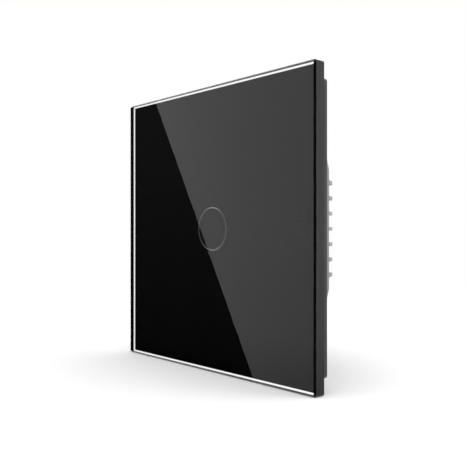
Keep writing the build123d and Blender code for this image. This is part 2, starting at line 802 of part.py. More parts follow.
with BuildPart() as relay_bobbin:
    for rear in (yoke_foot_rear + bobbin_flange, pole_front):
        with BuildSketch(depth(rear)):
            with Locations((coil_place, relay_place)):
                Rectangle(bobbin_length, bobbin_width)
        extrude(amount=bobbin_flange)
    with BuildSketch(depth(pole_front)):
        with Locations((coil_place, relay_place)):
            Circle(core_radius + bobbin_wall)
    extrude(amount=coil_height)
    with BuildSketch(depth(pole_front)):
        with Locations((coil_place, relay_place)):
            Circle(core_radius)
    extrude(amount=coil_height, mode=Mode.SUBTRACT)
    with BuildSketch(depth(yoke_foot_rear + bobbin_flange)):
        with Locations(*coil_pins_at):
            Circle(lead_radius)
    extrude(amount=bobbin_flange, mode=Mode.SUBTRACT)
finish(relay_bobbin, "relay_bobbin")

with BuildPart() as relay_winding:
    with BuildSketch(depth(pole_front - bobbin_flange)):
        with Locations((coil_place, relay_place)):
            Circle(winding_radius)
            Circle(core_radius + bobbin_wall, mode=Mode.SUBTRACT)
    extrude(amount=coil_height - 2 * bobbin_flange)
finish(relay_winding, "relay_winding")

with BuildPart() as relay_coil_pins:
    with BuildSketch(depth(yoke_foot_rear + bobbin_flange)):
        with Locations(*coil_pins_at):
            Circle(lead_radius)
    extrude(amount=yoke_foot_rear + bobbin_flange - lead_tip)
finish(relay_coil_pins, "relay_coil_pins")

with BuildPart() as relay_contact_bar:
    with BuildSketch(depth(fixed_contact_front)):
        with Locations((contact_bar_middle, relay_place)):
            Rectangle(contact_bar_right - contact_place + contact_radius, contact_bar_width)
    extrude(amount=contact_bar_thickness)
    with BuildSketch(depth(fixed_contact_front)):
        with Locations((contact_leg_place, relay_place)):
            Rectangle(contact_bar_thickness, contact_bar_width)
    extrude(amount=fixed_contact_front - lead_tip)
finish(relay_contact_bar, "relay_contact_bar")

with BuildPart() as relay_fixed_contact:
    with BuildSketch(depth(fixed_contact_top)):
        with Locations((contact_place, relay_place)):
            Circle(contact_radius)
    extrude(amount=fixed_contact_height)
finish(relay_fixed_contact, "relay_fixed_contact")

armature_rear = armature_front + armature_thickness
with BuildPart() as relay_armature:
    with BuildSketch(depth(armature_rear)):
        with Locations(((yoke_left + armature_reach) / 2, relay_place)):
            Rectangle(armature_reach - yoke_left, yoke_width)
    extrude(amount=armature_thickness)
finish(relay_armature, "relay_armature")

contact_spring_left = pivot_place + yoke_thickness
contact_spring_right = contact_place + contact_radius
with BuildPart() as relay_contact_spring:
    with BuildSketch(depth(armature_rear + contact_spring_thickness)):
        with Locations(((contact_spring_left + contact_spring_right) / 2, relay_place)):
            Rectangle(contact_spring_right - contact_spring_left, contact_spring_width)
    extrude(amount=contact_spring_thickness)
finish(relay_contact_spring, "relay_contact_spring")

with BuildPart() as relay_moving_contact:
    with BuildSketch(depth(armature_rear)):
        with Locations((contact_place, relay_place)):
            Circle(contact_radius)
    extrude(amount=armature_thickness)
finish(relay_moving_contact, "relay_moving_contact")

film_capacitor_leads = lead_pair(film_capacitor_place, film_capacitor_lead_spacing)
smoothing_capacitor_leads = lead_pair(smoothing_capacitor_place, smoothing_capacitor_lead_spacing)
choke_leads = lead_pair(choke_place, choke_lead_spacing)
varistor_leads = lead_pair(varistor_place, varistor_lead_spacing)
fuse_leads = lead_pair(fuse_place, fuse_lead_spacing)
regulator_leads = lead_pair(regulator_place, regulator_lead_spacing)
lead_length = power_board_rear - lead_tip

# Film capacitor: a moulded block
with BuildPart() as film_capacitor:
    with BuildSketch(depth(power_board_rear + film_capacitor_size[2])):
        with Locations(film_capacitor_place):
            Rectangle(film_capacitor_size[0], film_capacitor_size[1])
    extrude(amount=film_capacitor_size[2])
    fillet(film_capacitor.edges().filter_by(Axis.Y), film_capacitor_rounding)
    with BuildSketch(depth(power_board_rear)):
        with Locations(*film_capacitor_leads):
            Circle(lead_radius)
    extrude(amount=lead_length)
finish(film_capacitor, "film_capacitor")

# Smoothing capacitor: a can with a rolled bead near its foot
bead_rear = power_board_rear + smoothing_capacitor_bead_place
with BuildPart() as smoothing_capacitor:
    with BuildSketch(depth(power_board_rear + smoothing_capacitor_height)):
        with Locations(smoothing_capacitor_place):
            Circle(smoothing_capacitor_radius)
    extrude(amount=smoothing_capacitor_height)
    with BuildSketch(depth(bead_rear)):
        with Locations(smoothing_capacitor_place):
            Circle(smoothing_capacitor_radius)
            Circle(smoothing_capacitor_radius - smoothing_capacitor_bead_depth, mode=Mode.SUBTRACT)
    extrude(amount=2 * smoothing_capacitor_bead_depth, mode=Mode.SUBTRACT)
    with BuildSketch(depth(power_board_rear)):
        with Locations(*smoothing_capacitor_leads):
            Circle(lead_radius)
    extrude(amount=lead_length)
finish(smoothing_capacitor, "smoothing_capacitor")

# Choke: a drum core and its winding
choke_top = power_board_rear + choke_height
with BuildPart() as choke_core:
    for rear in (power_board_rear + choke_flange, choke_top):
        with BuildSketch(depth(rear)):
            with Locations(choke_place):
                Circle(choke_radius)
        extrude(amount=choke_flange)
    with BuildSketch(depth(choke_top)):
        with Locations(choke_place):
            Circle(choke_hub_radius)
    extrude(amount=choke_height)
    with BuildSketch(depth(power_board_rear)):
        with Locations(*choke_leads):
            Circle(lead_radius)
    extrude(amount=lead_length)
finish(choke_core, "choke_core")

with BuildPart() as choke_winding:
    with BuildSketch(depth(choke_top - choke_flange)):
        with Locations(choke_place):
            Circle(choke_winding_radius)
            Circle(choke_hub_radius, mode=Mode.SUBTRACT)
    extrude(amount=choke_height - 2 * choke_flange)
finish(choke_winding, "choke_winding")

# Varistor: a coated disc that stands on its leads
varistor_middle = power_board_rear + varistor_lift + varistor_radius
with BuildPart() as varistor:
    with BuildSketch(Plane.XY.offset(varistor_place[1] - varistor_thickness / 2)):
        with Locations((varistor_place[0], varistor_middle)):
            Circle(varistor_radius)
    extrude(amount=varistor_thickness)
    with BuildSketch(depth(varistor_middle)):
        with Locations(*varistor_leads):
            Circle(lead_radius)
    extrude(amount=varistor_middle - lead_tip)
finish(varistor, "varistor")

# Fuse in a round case
with BuildPart() as fuse:
    with BuildSketch(depth(power_board_rear + fuse_height)):
        with Locations(fuse_place):
            Circle(fuse_radius)
    extrude(amount=fuse_height)
    with BuildSketch(depth(power_board_rear)):
        with Locations(*fuse_leads):
            Circle(lead_radius)
    extrude(amount=lead_length)
finish(fuse, "fuse")

# Rectifier, soldered flat on the board
with BuildPart() as rectifier:
    with BuildSketch(depth(power_board_rear + rectifier_size[2])):
        with Locations(rectifier_place):
            Rectangle(rectifier_size[0], rectifier_size[1])
    extrude(amount=rectifier_size[2])
finish(rectifier, "rectifier")

# Voltage regulator
with BuildPart() as regulator:
    with BuildSketch(depth(power_board_rear + regulator_size[2])):
        with Locations(regulator_place):
            Rectangle(regulator_size[0], regulator_size[1])
    extrude(amount=regulator_size[2])
    with BuildSketch(depth(power_board_rear)):
        with Locations(*regulator_leads):
            Circle(lead_radius)
    extrude(amount=lead_length)
finish(regulator, "regulator")

# Power board: seated on the housing's bosses, with a hole for each lead, tail and screw
round_leads = (film_capacitor_leads + smoothing_capacitor_leads + choke_leads + varistor_leads
               + fuse_leads + regulator_leads + coil_pins_at)
board_inset = case_wall + power_board_clearance
with BuildPart() as power_board:
    with BuildSketch(depth(power_board_rear)):
        Polygon(*inset_octagon(case_half, case_corner_cut, board_inset), align=None)
        with Locations(*corner_places(case_screw_place)):
            Circle(case_screw_radius + screw_hole_clearance, mode=Mode.SUBTRACT)
        with Locations(*round_leads):
            Circle(lead_radius + lead_clearance, mode=Mode.SUBTRACT)
        with Locations(*[(x, bar_leg_far - bar_thickness / 2) for x in terminal_places]):
            Rectangle(bar_tail_width + sliding_gap, bar_thickness + sliding_gap, mode=Mode.SUBTRACT)
        with Locations(yoke_tail_place):
            Rectangle(*yoke_tail_hole, mode=Mode.SUBTRACT)
        with Locations((contact_leg_place, relay_place)):
            Rectangle(*contact_leg_hole, mode=Mode.SUBTRACT)
    extrude(amount=power_board_thickness)
finish(power_board, "power_board")
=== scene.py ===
"""Looks of a glass touch light switch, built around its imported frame.

Laid out as an add-on: settings, one operator for each group of pieces, a panel and
a main function that runs them in order. Lengths are metres, +Z is up, the glass
faces -Y and the wall plane is at y = 0.
"""

import json
import math

import bmesh
import bpy
from bpy.props import FloatProperty, FloatVectorProperty, IntProperty, PointerProperty
from bpy.types import Operator, Panel, PropertyGroup
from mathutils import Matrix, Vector

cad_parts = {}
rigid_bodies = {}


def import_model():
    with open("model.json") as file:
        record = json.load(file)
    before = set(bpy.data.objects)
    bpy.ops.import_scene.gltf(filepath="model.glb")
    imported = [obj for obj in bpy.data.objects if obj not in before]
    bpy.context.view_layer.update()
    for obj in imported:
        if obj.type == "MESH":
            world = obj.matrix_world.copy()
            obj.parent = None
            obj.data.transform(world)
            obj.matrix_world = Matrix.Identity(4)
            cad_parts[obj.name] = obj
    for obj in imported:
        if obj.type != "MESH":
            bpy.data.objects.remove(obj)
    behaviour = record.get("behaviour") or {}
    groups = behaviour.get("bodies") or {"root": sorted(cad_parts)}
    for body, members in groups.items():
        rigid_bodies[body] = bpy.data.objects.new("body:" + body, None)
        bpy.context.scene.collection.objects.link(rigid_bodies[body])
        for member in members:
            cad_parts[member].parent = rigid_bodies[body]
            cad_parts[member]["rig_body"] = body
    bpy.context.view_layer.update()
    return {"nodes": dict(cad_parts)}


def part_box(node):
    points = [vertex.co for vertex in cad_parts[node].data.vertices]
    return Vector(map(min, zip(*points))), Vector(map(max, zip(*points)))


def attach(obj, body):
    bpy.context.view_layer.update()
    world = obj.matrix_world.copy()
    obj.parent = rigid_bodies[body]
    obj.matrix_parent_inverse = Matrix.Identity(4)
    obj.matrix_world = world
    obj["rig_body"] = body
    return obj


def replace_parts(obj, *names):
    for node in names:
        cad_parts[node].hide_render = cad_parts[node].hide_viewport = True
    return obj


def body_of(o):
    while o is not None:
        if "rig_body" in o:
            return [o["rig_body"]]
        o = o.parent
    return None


bl_info = {
    "name": "Touch light switch",
    "version": (1, 0, 0),
    "blender": (4, 5, 0),
    "location": "3D View > Sidebar > Switch",
    "description": "Builds the finishes and fine pieces of a glass touch light switch",
    "category": "Object",
}

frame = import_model()
NODES = frame["nodes"]

MM = 0.001
TOUCHING = 0.001 * MM
GLASS_LOW, GLASS_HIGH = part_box("glass_panel")
PRINT_LOW, PRINT_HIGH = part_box("black_print")
RING_MIDDLE_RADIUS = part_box("ring_centre_print")[1].x
QUARTER_TURN = math.radians(90)


# Settings that a user would change

def length(name, description, millimetres):
    """A length setting, given in millimetres and kept in metres."""
    return FloatProperty(name=name, description=description, default=millimetres * MM,
                         unit="LENGTH", precision=5, min=0.0)


def share(name, description, default):
    """A setting without a unit, from 0 to 1."""
    return FloatProperty(name=name, description=description, default=default,
                         min=0.0, max=1.0, subtype="FACTOR")


def colour(name, description, default):
    """A colour setting, in linear red, green and blue."""
    return FloatVectorProperty(name=name, description=description, default=default,
                               min=0.0, max=1.0, size=3, subtype="COLOR")


def grey(level):
    """A colour with as much red as green and blue."""
    return (level, level, level)


def place(name, description, default):
    """A place setting, in metres."""
    return FloatVectorProperty(name=name, description=description, default=default, size=3,
                               subtype="TRANSLATION", unit="LENGTH")


def angle(name, description, degrees):
    """An angle setting, given in degrees and kept in radians."""
    return FloatProperty(name=name, description=description, default=math.radians(degrees),
                         subtype="ANGLE")


def strength(name, description, default, unit="NONE"):
    """The strength of a light, or the power of a lamp in watts."""
    return FloatProperty(name=name, description=description, default=default, min=0.0, unit=unit)


class SwitchStage(PropertyGroup):
    """Camera, floor, room and lamps."""

    camera_place: place("Camera place", "Where the camera stands", (0.14227, -0.1240, -0.00075))
    camera_turn: angle("Camera turn", "Turn of the level camera from the glass's normal", 48.528)
    camera_lens: FloatProperty(
        name="Lens", description="Focal length in millimetres for a 36 mm sensor",
        default=50.478, min=10.0)
    floor_reach: length("Floor reach", "Half width of the floor", 1500.0)
    floor_colour: colour("Floor colour", "Pale paint of the floor", grey(0.92))
    fade_start: length("Fade start", "Distance at which the floor begins to turn white", 90.0)
    fade_end: length("Fade end", "Distance at which the floor is as white as the room", 420.0)
    room_light: strength("Room light", "Strength of the room's own light", 0.75)
    mirror_light: strength("Mirrored light", "Strength of the room that the glass mirrors", 1.17)
    card_light: share("Card light", "Light of the dark card's top, which the glass mirrors", 0.058)
    card_lean: FloatVectorProperty(
        name="Card lean", description="Normal of the dark card's straight edge", size=3,
        default=(0.5895, -0.7360, 0.3328), subtype="DIRECTION")
    shade_half_angle: angle("Dark corner", "Half angle of the unlit place behind the camera", 21.0)
    above_place: place("Lamp above", "Where the lamp above hangs", (0.05, -0.18, 0.75))
    above_size: length("Size above", "Side of the lamp above", 900.0)
    above_power: strength("Power above", "Power of the lamp above", 4.05, "POWER")
    right_place: place("Lamp at the right", "Where the lamp at the right hangs", (0.40, 0.32, 0.62))
    right_size: length("Size at the right", "Side of the lamp at the right", 350.0)
    right_power: strength("Power at the right", "Power of the lamp at the right", 1.0, "POWER")


class SwitchGlass(PropertyGroup):
    """The glass panel and what is printed behind it."""

    glass_tint: colour("Glass tint", "Colour of the clear glass", (0.96, 0.985, 0.97))
    print_colour: colour("Print colour", "Black print behind the glass", (0.0046, 0.0046, 0.0049))
    print_sink: length("Print sink", "How far the print reaches into the glass", 0.02)
    edge_colour: colour("Edge colour", "Ink on the sides and chamfers", grey(0.005))
    edge_depth: length("Edge depth", "Thickness of the ink on the sides and chamfers", 0.06)
    ring_glow: strength("Ring glow", "Light of the ring, seen through the slit", 0.003)


class SwitchPlastics(PropertyGroup):
    """Moulded parts."""

    dark_colour: colour("Dark plastic", "Carrier behind the glass", (0.024, 0.024, 0.0255))
    # Painted shade: this grey is darker than the pale plastic of the housing and front cover. It
    # stands in for the shade that falls between the housing's ribs.
    light_colour_with_painted_shade: colour("Light plastic", "Housing and front cover", (0.27, 0.273, 0.27))
    terminal_colour: colour("Terminal plastic", "Bodies of the terminals", (0.10, 0.105, 0.11))
    relay_colour: colour("Relay plastic", "Case and base of the relay", (0.035, 0.09, 0.30))
    softened_edge: length("Softened edge", "Radius of a moulded edge", 0.12)
    small_edge: length("Small edge", "Radius of an edge of a small moulded part", 0.08)
    relay_edge: length("Relay edge", "Radius of an edge of a part of the relay", 0.05)
    pad_edge: length("Pad edge", "Radius of an edge of the sensor pad", 0.2)
    block_edge: length("Block edge", "Radius of an edge of a part on the power board", 0.1)


class SwitchMetals(PropertyGroup):
    """Sheet steel, screws, brass and copper."""

    steel_colour: colour("Zinc", "Zinc on the frame", (0.62, 0.63, 0.65))
    nickel_colour: colour("Nickel", "Nickel on screws and cages", (0.70, 0.68, 0.64))
    brass_colour: colour("Brass", "Brass bars", (0.78, 0.56, 0.24))
    copper_colour: colour("Copper", "Enamelled wire", (0.68, 0.27, 0.10))
    wire_radius: length("Wire radius", "Radius of the wound wire", 0.16)
    turned_edge: length("Turned edge", "Radius of an edge of a metal part", 0.08)
    bar_edge: length("Bar edge", "Radius of an edge of a current bar", 0.06)


class SwitchBoards(PropertyGroup):
    """Circuit boards and what is soldered to them."""

    board_colour: colour("Board colour", "Lacquer of the boards", (0.012, 0.14, 0.055))
    solder_radius: length("Solder radius", "Radius of a solder joint", 0.75)
    solder_height: length("Solder height", "Height of a solder joint", 0.5)
    solder_sides: IntProperty(name="Solder sides", description="Sides of a solder joint",
                              default=20, min=8)


# Node building

def add_node(tree, kind, **settings):
    """Add a node of a kind to a tree and set its own fields."""
    node = tree.nodes.new("ShaderNode" + kind)
    for field, value in settings.items():
        setattr(node, field, value)
    return node


def join(tree, source, target):
    """Join an output socket to an input socket."""
    tree.links.new(source, target)


def feed(tree, socket, value):
    """Give a socket a value, or the output of another node."""
    if isinstance(value, bpy.types.NodeSocket):
        tree.links.new(value, socket)
    elif socket.type == "RGBA":
        socket.default_value = (*value[:3], 1.0)
    else:
        socket.default_value = value


def new_group(name, inputs, outputs):
    """An empty shader node group with named sockets, and its two end nodes."""
    tree = bpy.data.node_groups.new(name, "ShaderNodeTree")
    kinds = {"value": "NodeSocketFloat", "colour": "NodeSocketColor", "vector": "NodeSocketVector"}
    for socket_name, kind, default in inputs:
        socket = tree.interface.new_socket(socket_name, in_out="INPUT", socket_type=kinds[kind])
        socket.default_value = default
    for socket_name, kind in outputs:
        tree.interface.new_socket(socket_name, in_out="OUTPUT", socket_type=kinds[kind])
    start = tree.nodes.new("NodeGroupInput")
    end = tree.nodes.new("NodeGroupOutput")
    return tree, start, end


def mix_colours(tree, factor, first, second):
    """Mix two colours and give the output socket."""
    node = add_node(tree, "Mix", data_type="RGBA")
    feed(tree, node.inputs["Factor"], factor)
    feed(tree, node.inputs["A"], first)
    feed(tree, node.inputs["B"], second)
    return node.outputs["Result"]


def mix_shaders(tree, factor, first, second):
    """Mix two shaders and give the output socket."""
    node = add_node(tree, "MixShader")
    for socket, source in zip(node.inputs, (factor, first, second)):
        join(tree, source, socket)
    return node.outputs["Shader"]


def calculate(tree, operation, *values):
    """One step of arithmetic, as an output socket."""
    node = add_node(tree, "Math", operation=operation)
    for socket, value in zip(node.inputs, values):
        feed(tree, socket, value)
    return node.outputs["Value"]


def compare(tree, first, second):
    """How alike two directions are: 1 for the same one, 0 at right angles."""
    node = add_node(tree, "VectorMath", operation="DOT_PRODUCT")
    feed(tree, node.inputs[0], first)
    feed(tree, node.inputs[1], second)
    return node.outputs["Value"]


def spread(tree, value, low, high, new_low=0.0, new_high=1.0):
    """Map a value from one range to another, held inside it."""
    node = add_node(tree, "MapRange", clamp=True)
    feed(tree, node.inputs["Value"], value)
    for socket, number in zip(("From Min", "From Max", "To Min", "To Max"),
                              (low, high, new_low, new_high)):
        feed(tree, node.inputs[socket], number)
    return node.outputs["Result"]


def object_place(tree):
    """The place on the piece, in metres."""
    return add_node(tree, "TexCoord").outputs["Object"]


def noise(tree, where, scale, detail=3.0, roughness=0.55):
    """A noise value, as an output socket."""
    node = add_node(tree, "TexNoise")
    feed(tree, node.inputs["Vector"], where)
    feed(tree, node.inputs["Scale"], scale)
    node.inputs["Detail"].default_value = detail
    node.inputs["Roughness"].default_value = roughness
    return node.outputs["Fac"]


# Effects that several materials share

BROAD_SHARE = 0.02
BEVEL_SAMPLES = 4
PATCH_SCALE = 900.0

# How alike the softened and the true normal are where nothing and where all is rubbed
FLAT = 0.995
RUBBED = 0.82

# The middle of a noise's values, which is spread over an effect's whole range
PATCH_RANGE = (0.35, 0.65)
MARK_RANGE = (0.35, 0.68)
LINE_RANGE = (0.3, 0.7)


def grain_group():
    """Fine moulded grain: a colour that varies a little and a height."""
    tree, start, end = new_group(
        "Fine grain",
        [("Colour", "colour", (0.5, 0.5, 0.5, 1.0)), ("Variation", "value", 0.2),
         ("Scale", "value", 3000.0)],
        [("Colour", "colour"), ("Height", "value")])
    where = object_place(tree)
    fine = noise(tree, where, start.outputs["Scale"])
    broad_scale = calculate(tree, "MULTIPLY", start.outputs["Scale"], BROAD_SHARE)
    broad = noise(tree, where, broad_scale, detail=2.0)
    half_fine = calculate(tree, "MULTIPLY", fine, 0.5)
    both = calculate(tree, "MULTIPLY_ADD", broad, 0.5, half_fine)
    lift = calculate(tree, "SUBTRACT", both, 0.5)
    lift = calculate(tree, "MULTIPLY", lift, start.outputs["Variation"])
    lift = calculate(tree, "MULTIPLY_ADD", lift, 2.0, 1.0)
    scaled = add_node(tree, "VectorMath", operation="SCALE")
    join(tree, start.outputs["Colour"], scaled.inputs[0])
    join(tree, lift, scaled.inputs["Scale"])
    join(tree, scaled.outputs["Vector"], end.inputs["Colour"])
    join(tree, fine, end.inputs["Height"])
    return tree


def wear_group():
    """Edges that rubbing has changed: a colour and a mask that is 1 on the edges."""
    tree, start, end = new_group(
        "Edge wear",
        [("Colour", "colour", (0.5, 0.5, 0.5, 1.0)), ("Worn Colour", "colour", (0.8, 0.8, 0.8, 1.0)),
         ("Reach", "value", 0.0003), ("Amount", "value", 0.5)],
        [("Colour", "colour"), ("Mask", "value")])
    soft = add_node(tree, "Bevel", samples=BEVEL_SAMPLES)
    join(tree, start.outputs["Reach"], soft.inputs["Radius"])
    surface = add_node(tree, "NewGeometry")
    likeness = compare(tree, soft.outputs["Normal"], surface.outputs["Normal"])
    edge = spread(tree, likeness, FLAT, RUBBED)
    broken = spread(tree, noise(tree, object_place(tree), PATCH_SCALE), *PATCH_RANGE)
    mask = calculate(tree, "MULTIPLY", edge, broken)
    mask = calculate(tree, "MULTIPLY", mask, start.outputs["Amount"])
    join(tree, mix_colours(tree, mask, start.outputs["Colour"], start.outputs["Worn Colour"]),
         end.inputs["Colour"])
    join(tree, mask, end.inputs["Mask"])
    return tree


def handling_group():
    """Soft marks of handling: a roughness between two values."""
    tree, start, end = new_group(
        "Handling marks",
        [("Smooth", "value", 0.3), ("Dull", "value", 0.45), ("Scale", "value", 90.0)],
        [("Roughness", "value")])
    marks = noise(tree, object_place(tree), start.outputs["Scale"], detail=5.0, roughness=0.6)
    join(tree, spread(tree, marks, *MARK_RANGE, start.outputs["Smooth"], start.outputs["Dull"]),
         end.inputs["Roughness"])
    return tree


def brushed_group():
    """Lines left by rolling or turning: a colour with darker lines in it, and a height."""
    tree, start, end = new_group(
        "Rolled lines",
        [("Stretch", "vector", (60.0, 6000.0, 6000.0)), ("Colour", "colour", (0.6, 0.6, 0.6, 1.0)),
         ("Depth", "value", 0.1)],
        [("Colour", "colour"), ("Height", "value")])
    stretched = add_node(tree, "VectorMath", operation="MULTIPLY")
    join(tree, object_place(tree), stretched.inputs[0])
    join(tree, start.outputs["Stretch"], stretched.inputs[1])
    lines = noise(tree, stretched.outputs["Vector"], 1.0, detail=4.0, roughness=0.65)
    dark = spread(tree, lines, *LINE_RANGE)
    dark = calculate(tree, "MULTIPLY", dark, start.outputs["Depth"])
    join(tree, mix_colours(tree, dark, start.outputs["Colour"], grey(0.0)), end.inputs["Colour"])
    join(tree, lines, end.inputs["Height"])
    return tree


def speckle_group():
    """Grains between two colours, as in zinc, foam or sintered powder."""
    tree, start, end = new_group(
        "Speckle",
        [("Colour", "colour", (0.5, 0.5, 0.5, 1.0)), ("Fleck", "colour", (0.7, 0.7, 0.7, 1.0)),
         ("Scale", "value", 1500.0), ("Amount", "value", 0.4)],
        [("Colour", "colour"), ("Value", "value")])
    cells = add_node(tree, "TexVoronoi", feature="F1")
    join(tree, object_place(tree), cells.inputs["Vector"])
    join(tree, start.outputs["Scale"], cells.inputs["Scale"])
    cell = add_node(tree, "SeparateColor")
    join(tree, cells.outputs["Color"], cell.inputs["Color"])
    amount = calculate(tree, "MULTIPLY", cell.outputs["Red"], start.outputs["Amount"])
    join(tree, mix_colours(tree, amount, start.outputs["Colour"], start.outputs["Fleck"]),
         end.inputs["Colour"])
    join(tree, cell.outputs["Green"], end.inputs["Value"])
    return tree


def shared_group(name):
    """The group of that name, built the first time it is asked for."""
    makers = {"Fine grain": grain_group, "Edge wear": wear_group,
              "Handling marks": handling_group, "Rolled lines": brushed_group,
              "Speckle": speckle_group}
    return bpy.data.node_groups.get(name) or makers[name]()


class Finish:
    """A material in the making. Underscores in a socket's name stand for spaces."""

    def __init__(self, name):
        self.material = bpy.data.materials.new(name)
        self.material.use_nodes = True
        self.tree = self.material.node_tree
        self.surface = self.tree.nodes["Principled BSDF"]

    def set(self, **values):
        """Set sockets of the surface shader by name."""
        for socket, value in values.items():
            feed(self.tree, self.surface.inputs[socket.replace("_", " ")], value)
        return self

    def group(self, name, **values):
        """Place a shared effect in this material and give its outputs."""
        node = add_node(self.tree, "Group", node_tree=shared_group(name))
        for socket, value in values.items():
            feed(self.tree, node.inputs[socket.replace("_", " ").title()], value)
        return node.outputs

    def cover(self, tone, smooth, dull, scale, **values):
        """Give the surface a colour, and a roughness with marks of handling."""
        marks = self.group("Handling marks", smooth=smooth, dull=dull, scale=scale)
        return self.set(Base_Color=tone, Roughness=marks["Roughness"], **values)

    def bump(self, height, distance, strength=0.5):
        """Give the surface a relief of that depth in metres."""
        node = add_node(self.tree, "Bump")
        node.inputs["Strength"].default_value = strength
        node.inputs["Distance"].default_value = distance
        join(self.tree, height, node.inputs["Height"])
        join(self.tree, node.outputs["Normal"], self.surface.inputs["Normal"])
        return self


def paler(tone, times, lift):
    """A colour times a factor and lifted a little, up to white."""
    return tuple(min(1.0, part * times + lift) for part in tone)


def moulded(name, tone, smooth=0.38, dull=0.5, worn=1.35, grain=2600.0, relief=0.01 * MM):
    """Moulded plastic: fine grain, edges rubbed a little paler, marks of handling."""
    finish = Finish(name)
    grain_out = finish.group("Fine grain", colour=tone, variation=0.16, scale=grain)
    wear = finish.group("Edge wear", colour=grain_out["Colour"], reach=0.22 * MM, amount=0.6,
                        worn_colour=paler(tone, times=worn, lift=0.01))
    finish.cover(wear["Colour"], smooth, dull, scale=120.0)
    return finish.bump(grain_out["Height"], relief).material


def metal(name, tone, stretch, smooth=0.2, dull=0.34, fleck=None, fleck_scale=700.0):
    """Plated or rolled metal: lines from rolling or turning, and edges rubbed bright."""
    finish = Finish(name)
    rolled = finish.group("Rolled lines", stretch=stretch, colour=tone, depth=0.12)
    shown = rolled["Colour"]
    if fleck:
        shown = finish.group("Speckle", colour=shown, fleck=fleck, scale=fleck_scale,
                             amount=0.35)["Colour"]
    wear = finish.group("Edge wear", colour=shown, reach=0.15 * MM, amount=0.7,
                        worn_colour=paler(tone, times=1.15, lift=0.05))
    finish.cover(wear["Colour"], smooth, dull, scale=160.0, Metallic=1.0)
    return finish.bump(rolled["Height"], 0.004 * MM, strength=0.35).material


def speckled(name, tone, fleck, scale, amount, roughness, relief):
    """Foam or sintered powder: grains between two colours, which stand out a little."""
    finish = Finish(name)
    grains = finish.group("Speckle", colour=tone, fleck=fleck, scale=scale, amount=amount)
    finish.set(Base_Color=grains["Colour"], Roughness=roughness)
    return finish.bump(grains["Value"], relief).material


# Mesh building

SHARP_FROM = math.radians(35)
SOFTEN_FROM = math.radians(40)
SOFT_SEGMENTS = 2
CORNER_STEPS = 6


def mesh_object(name, mesh, material):
    """An object in the scene, made of a bmesh, with one finish."""
    data = bpy.data.meshes.new(name)
    mesh.to_mesh(data)
    mesh.free()
    data.materials.append(material)
    made = bpy.data.objects.new(name, data)
    bpy.context.scene.collection.objects.link(made)
    return made


def piece(name, mesh, material, body):
    """A visible piece of the switch, smooth but for its edges, that rides on its body."""
    bmesh.ops.recalc_face_normals(mesh, faces=mesh.faces)
    made = mesh_object(name, mesh, material)
    data = made.data
    data.polygons.foreach_set("use_smooth", [True] * len(data.polygons))
    data.set_sharp_from_angle(angle=SHARP_FROM)
    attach(made, body)
    return made


def wall_loop(mesh, outline, y):
    """A closed row of vertices with an outline's x and z, all at one y."""
    return [mesh.verts.new((x, y, z)) for x, z in outline]


def bridge(mesh, first, second):
    """Faces between two closed rows of as many vertices."""
    count = len(first)
    for i in range(count):
        j = (i + 1) % count
        mesh.faces.new((first[i], first[j], second[j], second[i]))


def bridge_round(mesh, rows):
    """Faces from each row to the next, and from the last row to the first."""
    for first, second in zip(rows, rows[1:] + rows[:1]):
        bridge(mesh, first, second)


def rounded_outline(half, radius):
    """A square with rounded corners, from the corner at the upper right."""
    outline = []
    for turn, (right, up) in enumerate(((1, 1), (-1, 1), (-1, -1), (1, -1))):
        for k in range(CORNER_STEPS + 1):
            angle = QUARTER_TURN * (turn + k / CORNER_STEPS)
            outline.append((right * (half - radius) + radius * math.cos(angle),
                            up * (half - radius) + radius * math.sin(angle)))
    return outline


def straight_outline(half_width, half_height, steps):
    """A rectangle, each side in so many steps, from its lower left corner."""
    corners = [(-half_width, -half_height), (half_width, -half_height),
               (half_width, half_height), (-half_width, half_height)]
    outline = []
    for (x0, z0), (x1, z1) in zip(corners, corners[1:] + corners[:1]):
        outline += [(x0 + (x1 - x0) * k / steps, z0 + (z1 - z0) * k / steps) for k in range(steps)]
    return outline


def circle_outline(radius, count, turn=0.0, centre=(0.0, 0.0)):
    """Points of a circle, counted from a turn."""
    turns = [turn + 2 * math.pi * k / count for k in range(count)]
    return [(centre[0] + radius * math.cos(a), centre[1] + radius * math.sin(a)) for a in turns]


def ring_solid(mesh, outer, inner, front, rear):
    """A flat ring between two outlines of as many points, closed all round."""
    bridge_round(mesh, [wall_loop(mesh, outer, front), wall_loop(mesh, outer, rear),
                        wall_loop(mesh, inner, rear), wall_loop(mesh, inner, front)])


def lathe(mesh, profile, count, centre):
    """Turn a profile of (radius, y) around an axis along Y. A radius of 0 closes the end."""
    rows = []
    for radius, y in profile:
        if radius == 0:
            rows.append([mesh.verts.new((centre[0], y, centre[1]))])
        else:
            rows.append(wall_loop(mesh, circle_outline(radius, count, centre=centre), y))
    for first, second in zip(rows, rows[1:]):
        for i in range(count):
            j = (i + 1) % count
            if len(first) == 1:
                mesh.faces.new((first[0], second[j], second[i]))
            elif len(second) == 1:
                mesh.faces.new((first[i], first[j], second[0]))
            else:
                mesh.faces.new((first[i], first[j], second[j], second[i]))


def tube_along(mesh, points, radius, sides):
    """A closed tube of round section along a row of points that never runs along Y."""
    rows = []
    for k, point in enumerate(points):
        ahead = (points[min(k + 1, len(points) - 1)] - points[max(k - 1, 0)]).normalized()
        across = ahead.cross(Vector((0, 1, 0))).normalized()
        up = across.cross(ahead)
        rows.append([mesh.verts.new(point + (across * x + up * z))
                     for x, z in circle_outline(radius, sides)])
    for first, second in zip(rows, rows[1:]):
        bridge(mesh, first, second)
    mesh.faces.new(rows[0])
    mesh.faces.new(list(reversed(rows[-1])))


def paint(material, *names):
    """Put a finish on CAD nodes, in every slot that they have."""
    for name in names:
        data = NODES[name].data
        if not data.materials:
            data.materials.append(material)
        for index in range(len(data.materials)):
            data.materials[index] = material


